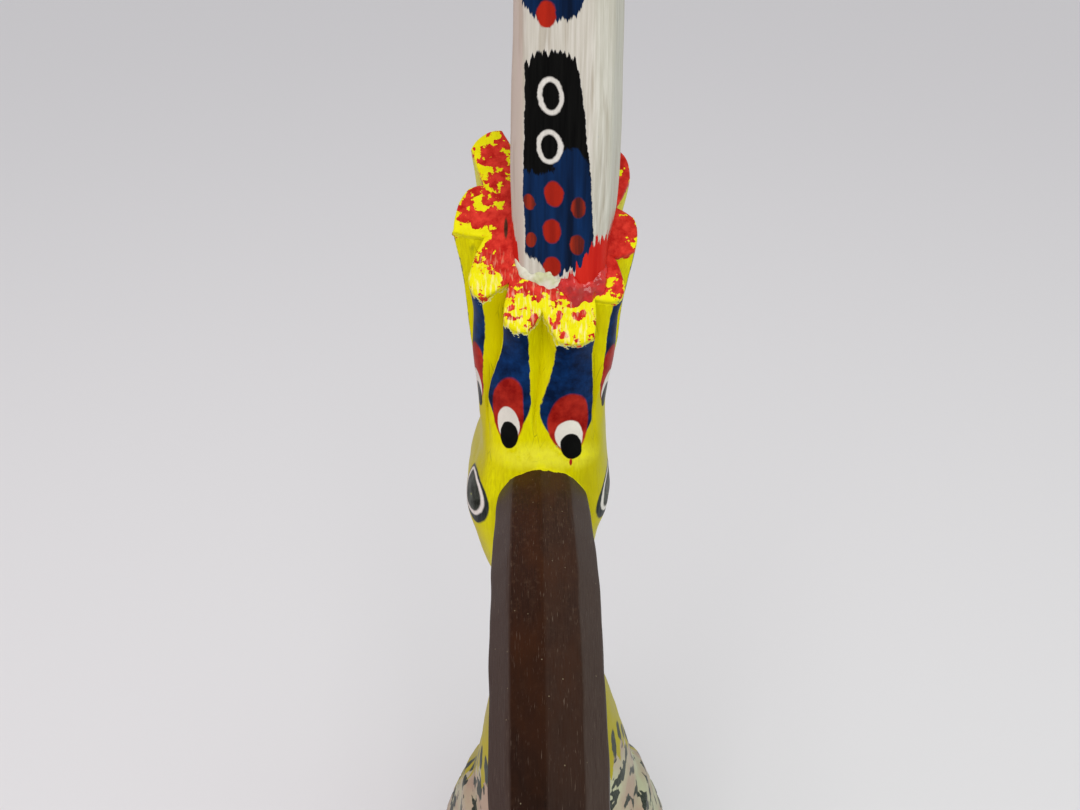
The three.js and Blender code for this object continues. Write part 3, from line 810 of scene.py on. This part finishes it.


# Softwood whittled with a knife and stained dark brown: fine fibres run along the bill, with pale specks of
# bare wood, and a satin sheen. The flats are lightened one by one as painted sheen, and the stain is darkened
# towards the tip as painted shade. The yellow enamel of the head laps over the butt in a ragged line.
def bill_stain():
    paint, tree, shader, place = new_paint("softwood whittled and stained")
    along_bill = add(tree, "Attribute", {"attribute_name": "straightened_mm"}).outputs["Vector"]
    flat = add(tree, "Attribute", {"attribute_name": "painted_flat_sheen"}).outputs["Fac"]
    fibres = patches(tree, along_bill, (2.6, 2.6, 0.16), 0.25, 0.75, Detail=4, Roughness=0.65)
    cloud = patches(tree, along_bill, 0.07, 0.35, 0.65)
    stain = add(tree, "Mix", {"data_type": "RGBA", 6: linear("#26150d"), 7: linear("#3d2418")}, {0: fibres})
    rub = patches(tree, along_bill, 0.45, 0.52, 0.75, 0.5, Detail=5, Roughness=0.7)
    colour = coat(tree, stain.outputs[2], rub, ("#54331f", "#5c4a3a"), cloud)
    warm = patches(tree, along_bill, (0.12, 0.12, 0.045), 0.45, 0.65, 0.7)
    colour = coat(tree, colour, warm, ("#4c2913", "#3b2112"), fibres)
    length = add(tree, "SeparateXYZ", {}, {0: along_bill}).outputs["Z"]
    # Painted shade: the stain is darkened towards the tip, down the lower bill.
    far = add(tree, "MapRange", {"From Min": 40, "From Max": 150, "To Max": 0.9}, {"Value": length})
    colour = coat(tree, colour, far, ("#0d0704", "#180e0a"), cloud)

    # Painted sheen: each flat is lightened by its own share, as if the light catches it.
    colour = coat(tree, colour, flat, ("#3a2b26", "#4b3f39"), fibres)
    raised = patches(tree, along_bill, (3.4, 3.4, 0.3), 0.64, 0.74, 0.4, Detail=2)
    colour = coat(tree, colour, raised, ("#5e5046", "#786a5c"), cloud)

    pale = specks(tree, along_bill, 0.55, 0.13, 0.05, 0.88, 0.5)
    colour = coat(tree, colour, pale, ("#8a7c5c", "#a59a80"), fibres)

    shaken = wobbled(tree, wobbled(tree, place, place, 130, 0.0042), place, 700, 0.0016)
    at = add(tree, "SeparateXYZ", {}, {0: shaken})
    off = add(tree, "Math", {"operation": "ADD", 1: 0.004}, {0: at.outputs["X"]})
    off = add(tree, "Math", {"operation": "MULTIPLY"}, {0: off, 1: off})
    ahead = add(tree, "Math", {"operation": "MULTIPLY_ADD", 1: -4.9}, {0: off, 2: at.outputs["Y"]})
    lap = add(tree, "MapRange", {"From Min": -0.0396, "From Max": -0.0394}, {"Value": ahead})
    colour = coat(tree, colour, lap, ("#dcd80c", "#c6bd08"), cloud)

    relief = add(tree, "Math", {"operation": "MULTIPLY_ADD", 1: 1.5}, {0: lap, 2: fibres})
    bump = add(tree, "Bump", {"Strength": 0.4, "Distance": 0.0001}, {"Height": relief})
    gloss = add(tree, "MapRange", {"To Min": 0.38, "To Max": 0.55}, {"Value": fibres})
    deep_sheen(tree, shader, colour)
    link(tree, shader, {"Base Color": colour, "Normal": bump, "Roughness": gloss})
    return paint


bill = whittled_bill()
finish_piece(bill, "whittled_bill", bill_stain(), 14)
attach(bill, "root")
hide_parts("bill")


# Plume
# A square wooden post with wide chamfers, whittled, painted white and decorated on its front.
# Its foot stands in the crest.
PLUME_TURN, PLUME_CRISP = -12, 30
PLUME_WAVES = ((60, 0.12), (24, 0.05))

# Its sections, from the foot: height, place across, place to the front, how far a side is from the
# middle, and how far along the side its chamfer starts.
PLUME = (
    (456, 1.3, 12, 14, 9.6),
    (486, 1.5, 12, 14.5, 10),
    (515, 2, 12, 15.1, 10.6),
    (560, 2.1, 12, 13.8, 9.4),
    (625, 2.4, 11.5, 12.7, 8.6),
    (654, 2.5, 11, 12, 8),
)
PLUME_DOME = 20
PLUME_FLATS = [math.radians(45 * k) for k in range(8)]


def plume_depths(flat, arris):
    """How far the post's sides and chamfers are from its middle, in turn."""
    return [flat, (flat + arris) / math.sqrt(2)] * 4


def whittled_plume():
    columns, rows = 144, 260
    piece, level, column = pulled_sphere(columns, rows)
    t = level / rows
    last = len(PLUME) - 1
    foot, dome = 0.03, 0.9
    at = np.clip(last * (t - foot) / (dome - foot), 0, last)
    s = along(PLUME, at)
    z, x, front, flat, arris = s.T
    angle = column / columns * 2 * math.pi
    chance = np.random.default_rng(5)
    depth = []
    for straight in plume_depths(flat, arris):
        wave = 0
        for size, deep in PLUME_WAVES:
            wave = wave + deep * np.sin(z / size * 2 * math.pi + chance.uniform(0, 6.3))
        depth.append(straight + wave)
    r = whittled_round(angle, PLUME_FLATS, PLUME_CRISP, depth)
    over = np.clip((t - dome) / (1 - dome), 0, 1) * math.pi / 2
    r = r * np.where(t < foot, t / foot, np.cos(over) ** 0.8)
    z = z + PLUME_DOME * np.sin(over)
    turned = angle + math.radians(PLUME_TURN)
    points = np.stack((x + r * np.sin(turned), front + r * np.cos(turned), z), -1)
    set_points(piece, points)
    return piece


# Softwood whittled, painted with thin white and decorated in enamel: brush streaks run up and down,
# brown wood shows through the white in places, and the motifs have brushed, ragged ends. Each is a
# dark-blue foot with red dots under a black cap with two white rings, and they repeat up the post.
# A dot or ring is given by its place across, its height, and its half width and half height.
MOTIF_FOOT, MOTIF_STEP = 480.8, 70.5
RED_DOTS = (
    (-1.3, 484, 2.55, 3.3),
    (-1.3, 495.5, 2.7, 3.8),
    (-0.7, 507, 2.7, 3.8),
    (6.2, 491.8, 2.2, 3.2),
    (6.5, 503.4, 2.2, 3.2),
    (-7.7, 492.3, 1.75, 2.4),
    (-7.9, 504.1, 1.75, 2.4),
)
WHITE_RINGS = ((-1.2, 520.4, 3.68, 4.75), (-0.6, 534.1, 3.6, 5))
RING_LINE = 1.25


def plume_enamel():
    paint, tree, shader, place = new_paint("enamel brushed on whittled softwood")
    local = add(tree, "Mapping",
                {"vector_type": "TEXTURE", "Location": (0.002, -0.012, 0), "Scale": (MM, MM, MM),
                 "Rotation": (0, 0, math.radians(PLUME_TURN))},
                {"Vector": place})
    parts = add(tree, "SeparateXYZ", {}, {0: local})
    streaks = bristle_marks(tree, place, 1100, 40, 0.16)
    broad = bristle_marks(tree, place, 260, 16, 0.14)
    white = add(tree, "Mix", {"data_type": "RGBA", 6: linear("#ccc8be"), 7: linear("#b8b3a6")}, {0: streaks})
    bare = bristle_marks(tree, place, 420, 24, 0.3)
    bare = add(tree, "MapRange", {"From Min": 0.6, "From Max": 0.8, "To Max": 0.6}, {"Value": bare})
    colour = coat(tree, white.outputs[2], bare, ("#8d8272", "#a79c88"), streaks)

    shaken = wobbled(tree, wobbled(tree, local, place, 80, 1.8), place, 700, 1.0)
    # Painted shade: the chamfer and side towards the bird's right are tinted a darker pink, as they turn from
    # the light.
    warm = add(tree, "MapRange", {"From Min": -9.6, "From Max": -10.4, "To Max": 0.6},
               {"Value": parts.outputs["X"]})
    colour = coat(tree, colour, warm, ("#ad968c", "#b8a89a"), streaks)
    shaken = add(tree, "SeparateXYZ", {}, {0: shaken})
    unit_z = add(tree, "Math", {"operation": "WRAP", 1: MOTIF_FOOT + MOTIF_STEP, 2: MOTIF_FOOT},
                 {0: parts.outputs["Z"]})
    middle = add(tree, "MapRange", {"From Min": 500, "From Max": 545, "To Min": 0.5, "To Max": -1.9},
                 {"Value": parts.outputs["Z"]})
    drift = add(tree, "Math", {"operation": "MULTIPLY_ADD", 1: -0.9, 2: 0.45}, {0: middle})
    in_x = add(tree, "Math", {"operation": "ADD"}, {0: shaken.outputs["X"], 1: drift})
    in_unit = add(tree, "CombineXYZ", {}, {"X": in_x, "Y": unit_z})
    half = add(tree, "MapRange", {"From Min": 505, "From Max": 545, "To Min": 10.2, "To Max": 7.2},
               {"Value": unit_z})
    second = add(tree, "MapRange", {"From Min": 545, "From Max": 555, "To Min": 1, "To Max": 0.8},
                 {"Value": parts.outputs["Z"]})
    half = add(tree, "Math", {"operation": "MULTIPLY"}, {0: half, 1: second})
    off = add(tree, "Math", {"operation": "SUBTRACT"}, {0: shaken.outputs["X"], 1: middle})
    off = add(tree, "Math", {"operation": "ABSOLUTE"}, {0: off})
    within = add(tree, "Math", {"operation": "SUBTRACT"}, {0: half, 1: off})
    panel = add(tree, "MapRange", {"From Min": -0.1, "From Max": 0.12}, {"Value": within})
    front = add(tree, "Math", {"operation": "LESS_THAN", 1: -4}, {0: parts.outputs["Y"]})
    below_top = add(tree, "Math", {"operation": "LESS_THAN", 1: MOTIF_FOOT + 2 * MOTIF_STEP - 3},
                    {0: parts.outputs["Z"]})
    panel = overlap(tree, panel, front, below_top)

    brushed = bristle_marks(tree, place, 900, 60, 0.2)
    ragged_z = add(tree, "Math", {"operation": "MULTIPLY_ADD", 1: -3.4}, {0: brushed, 2: unit_z})
    rounding = add(tree, "Math", {"operation": "MULTIPLY"}, {0: off, 1: off})
    ragged_top = add(tree, "Math", {"operation": "MULTIPLY_ADD", 1: 0.07}, {0: rounding, 2: ragged_z})
    ragged_foot = add(tree, "Math", {"operation": "MULTIPLY_ADD", 1: -0.06}, {0: rounding, 2: ragged_z})
    under_top = add(tree, "MapRange", {"From Min": 544.4, "From Max": 543.9}, {"Value": ragged_top})
    over_foot = add(tree, "MapRange", {"From Min": 480.4, "From Max": 480.9}, {"Value": ragged_foot})
    blue = overlap(tree, panel, under_top, over_foot)
    colour = coat(tree, colour, blue, ("#07142a", "#0d2b55"), broad)
    cap = add(tree, "MapRange", {"From Min": 511.2, "From Max": 511.7}, {"Value": ragged_z})
    bay = spot(tree, wobbled(tree, in_unit, place, 500, 4), (4.6, 512.5, 0), (5, 7.8, 1), 0.06)
    cap = add(tree, "Math", {"operation": "SUBTRACT", "use_clamp": True}, {0: cap, 1: bay})
    colour = coat(tree, colour, overlap(tree, cap, blue), ("#040404", "#0d0d0c"), streaks)
    for x, z, wide, tall in RED_DOTS:
        dot = spot(tree, in_unit, (x, z, 0), (wide, tall, 1), 0.08)
        tones = ("#ab2616", "#8d1d12") if wide > 2.5 else ("#9a2c18", "#4a1c1a")
        colour = coat(tree, colour, overlap(tree, dot, panel), tones, broad)
    for x, z, wide, tall in WHITE_RINGS:
        outer = spot(tree, in_unit, (x, z, 0), (wide, tall, 1), 0.05)
        inner = spot(tree, in_unit, (x, z, 0), (wide - RING_LINE, tall - RING_LINE, 1), 0.07)
        ring = add(tree, "Math", {"operation": "SUBTRACT", "use_clamp": True}, {0: outer, 1: inner})
        colour = coat(tree, colour, overlap(tree, ring, front), ("#d4d0c9", "#c4c0b8"), streaks)

    side = add(tree, "Math", {"operation": "LESS_THAN", 1: -11.5}, {0: shaken.outputs["X"]})
    rear = add(tree, "MapRange", {"From Min": -7.5, "From Max": -7.2}, {"Value": shaken.outputs["Y"]})
    colour = coat(tree, colour, overlap(tree, side, rear), ("#0b1730", "#14284c"), broad)
    lap_height = add(tree, "MapRange", {"From Min": -14, "From Max": -11, "To Min": 506, "To Max": 489},
                     {"Value": shaken.outputs["X"]})
    inner = add(tree, "MapRange", {"From Min": 1, "From Max": 1.5}, {"Value": shaken.outputs["X"]})
    right = add(tree, "MapRange", {"From Min": 3, "From Max": 12, "To Min": -10, "To Max": 4},
                {"Value": shaken.outputs["X"]})
    lapped = add(tree, "Math", {"operation": "ADD"}, {0: lap_height, 1: right})
    lapped = add(tree, "Math", {"operation": "MULTIPLY_ADD", 1: 5.5}, {0: brushed, 2: lapped})
    lapped = add(tree, "Math", {"operation": "SUBTRACT"}, {0: lapped, 1: parts.outputs["Z"]})
    lap = add(tree, "MapRange", {"From Min": 2.2, "From Max": 2.6}, {"Value": lapped})
    outside = add(tree, "MapRange", {"From Min": -0.2, "From Max": -0.6}, {"Value": within})
    outside = add(tree, "Math", {"operation": "MAXIMUM"}, {0: outside, 1: inner})
    colour = coat(tree, colour, overlap(tree, lap, outside), ("#b81a12", "#cc2c20"), broad)

    pale = specks(tree, place, 190, 0.11, 0.06, 0.88, 0.8)
    colour = coat(tree, colour, pale, ("#cfccc4", "#9aa0a4"), streaks)

    bump = add(tree, "Bump", {"Strength": 0.35, "Distance": 0.0001}, {"Height": streaks})
    gloss = add(tree, "MapRange", {"To Min": 0.42, "To Max": 0.56}, {"Value": broad})
    deep_sheen(tree, shader, colour)
    link(tree, shader, {"Base Color": colour, "Normal": bump, "Roughness": gloss})
    return paint


plume = whittled_plume()
finish_piece(plume, "painted_plume", plume_enamel(), 24)
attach(plume, "root")
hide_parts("plume")


# Paste round the plume's foot
# A bead of paper pulp and glue pressed into the joint in front, left pale on one side and covered
# with thick glossy red enamel on the other.
PASTE_FROM, PASTE_TO, PASTE_FACE_Z = -50, 66, 492.6
PASTE_WIDE, PASTE_HIGH, RED_WIDER, RED_HIGHER = 0.9, 3.1, 1.7, 0.7


def paste_bead():
    columns, rows = 48, 220
    piece, level, column = pulled_sphere(columns, rows)
    t = level / rows
    around = np.radians(PASTE_FROM + (PASTE_TO - PASTE_FROM) * t)
    _, x, front, flat, arris = along(PLUME, np.full(len(t), 1.0)).T
    r = whittled_round(around, PLUME_FLATS, PLUME_CRISP, plume_depths(flat, arris))
    turned = around + math.radians(PLUME_TURN)
    foot = np.stack((x + r * np.sin(turned), front + r * np.cos(turned)), -1)
    on_face = PASTE_FACE_Z - (foot[:, 1] - RINGS[-1][2])
    taper = np.sin(np.pi * t) ** 0.45
    waves = 1 + 0.22 * np.sin(t * 23) + 0.14 * np.sin(t * 51 + 1)
    red_side = smooth((t - 0.5) / 0.08)
    wide = taper * (PASTE_WIDE + RED_WIDER * red_side) * waves
    high = taper * (PASTE_HIGH + RED_HIGHER * red_side) * waves
    section = column / columns * 2 * math.pi
    out, up = wide * np.cos(section), high * np.sin(section)
    points = np.stack((
        foot[:, 0] + out * np.sin(turned),
        foot[:, 1] + out * np.cos(turned),
        on_face + up - out * np.cos(turned),
    ), -1)
    set_points(piece, points)
    kneaded = 0.35 * taper * lumps(points, 3.2, 21) + 0.12 * taper * lumps(points, 1.3, 22)
    points = rough_up(piece, points, kneaded)
    set_points(piece, points)
    return piece


# Paper pulp and glue: chalky greenish white, and over half of it enamel laid on thick and glossy.
def paste_paint():
    paint, tree, shader, place = new_paint("paper pulp in glue, part enamelled")
    grain = add(tree, "TexNoise", {"Scale": 900, "Detail": 4}, {"Vector": place})
    tint = patches(tree, place, 240, 0.42, 0.6)
    pulp = add(tree, "Mix", {"data_type": "RGBA", 6: linear("#bcbf94"), 7: linear("#cfcdbb")}, {0: tint})
    shaken = wobbled(tree, place, place, 260, 0.007)
    x = add(tree, "SeparateXYZ", {}, {0: shaken}).outputs["X"]
    red = add(tree, "MapRange", {"From Min": -0.0006, "From Max": -0.0003}, {"Value": x})
    colour = coat(tree, pulp.outputs[2], red, ("#c41a12", "#a0100c"), tint)
    gloss = add(tree, "MapRange", {"To Min": 0.7, "To Max": 0.2}, {"Value": red})
    bump = add(tree, "Bump", {"Strength": 0.4, "Distance": 0.0002}, {"Height": grain})
    link(tree, shader, {"Base Color": colour, "Normal": bump, "Roughness": gloss})
    return paint


paste = paste_bead()
finish_piece(paste, "plume_paste", paste_paint(), 60)
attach(paste, "root")


# Floor
# A plain pale sheet of paper, which is not part of the bird.
def studio_paper():
    paint, _, shader, _ = new_paint("matt studio paper")
    shader.inputs["Base Color"].default_value = linear("#e4e3e5")
    shader.inputs["Roughness"].default_value = 0.9
    shader.inputs["Specular IOR Level"].default_value = 0.1
    return paint


bpy.ops.mesh.primitive_plane_add(size=60, location=(0, 0, 0))
floor = bpy.context.object
finish_piece(floor, "studio_floor", studio_paper(), 30)


# Light
# Soft studio light: a wide white panel above and in front, a weak one on the bird's left that is
# faintly green, and a weaker pinkish one on its right. The pale surround is brightest in front.
def light_panel(name, place, aim, size, power, colour):
    lamp = bpy.data.lights.new(name, "AREA")
    lamp.shape = "RECTANGLE"
    lamp.size, lamp.size_y = size
    lamp.energy = power
    lamp.color = linear(colour)[:3]
    panel = bpy.data.objects.new(name, lamp)
    bpy.context.collection.objects.link(panel)
    panel.location = place
    direction = np.array(aim) - np.array(place)
    panel.rotation_euler = Vector(direction).to_track_quat("-Z", "Y").to_euler()
    return panel


HEAD = (-0.006, -0.02, 0.44)
light_panel("key_panel", (-0.1, -1.1, 1.75), HEAD, (1.3, 1.0), 15, "#fffefc")
light_panel("left_panel", (1.3, -0.5, 0.9), HEAD, (1.0, 1.2), 1.5, "#dcffdc")
light_panel("right_panel", (-1.3, -0.4, 0.8), HEAD, (1.0, 1.2), 0.7, "#ffb4bc")

world = bpy.data.worlds.new("pale studio")
world.use_nodes = True
sky = world.node_tree
facing = add(sky, "TexCoord").outputs["Generated"]
sideways = add(sky, "SeparateXYZ", {}, {0: facing}).outputs["X"]
sideways = add(sky, "MapRange", {"From Min": -1, "From Max": 1}, {"Value": sideways})
tint = add(sky, "Mix", {"data_type": "RGBA", 6: linear("#eee1e8"), 7: linear("#e1ece8")}, {0: sideways})
ahead = add(sky, "VectorMath", {"operation": "DOT_PRODUCT", 1: (0.08, -0.3, 0)}, {0: facing})
bright = add(sky, "Math", {"operation": "MULTIPLY_ADD", 1: 0.88, 2: 0.88}, {0: ahead.outputs["Value"]})
link(sky, sky.nodes["Background"], {"Color": tint.outputs[2], "Strength": bright})
bpy.context.scene.world = world
bpy.context.scene.view_settings.view_transform = "Standard"


# Camera
# It stands close in front of the head and looks down on it, as the photograph does.
CAMERA_AIM = (-0.006, -0.035, 0.440)
CAMERA_FAR, CAMERA_DOWN = 0.280, math.radians(33)
lens = bpy.data.cameras.new("camera")
lens.sensor_width = 36
lens.lens = 29
lens.clip_start = 0.01
lens.clip_end = 50
camera = bpy.data.objects.new("camera", lens)
camera.location = (
    CAMERA_AIM[0],
    CAMERA_AIM[1] - CAMERA_FAR * math.cos(CAMERA_DOWN),
    CAMERA_AIM[2] + CAMERA_FAR * math.sin(CAMERA_DOWN),
)
camera.rotation_euler = (math.pi / 2 - CAMERA_DOWN, 0, 0)
bpy.context.collection.objects.link(camera)
bpy.context.scene.camera = camera
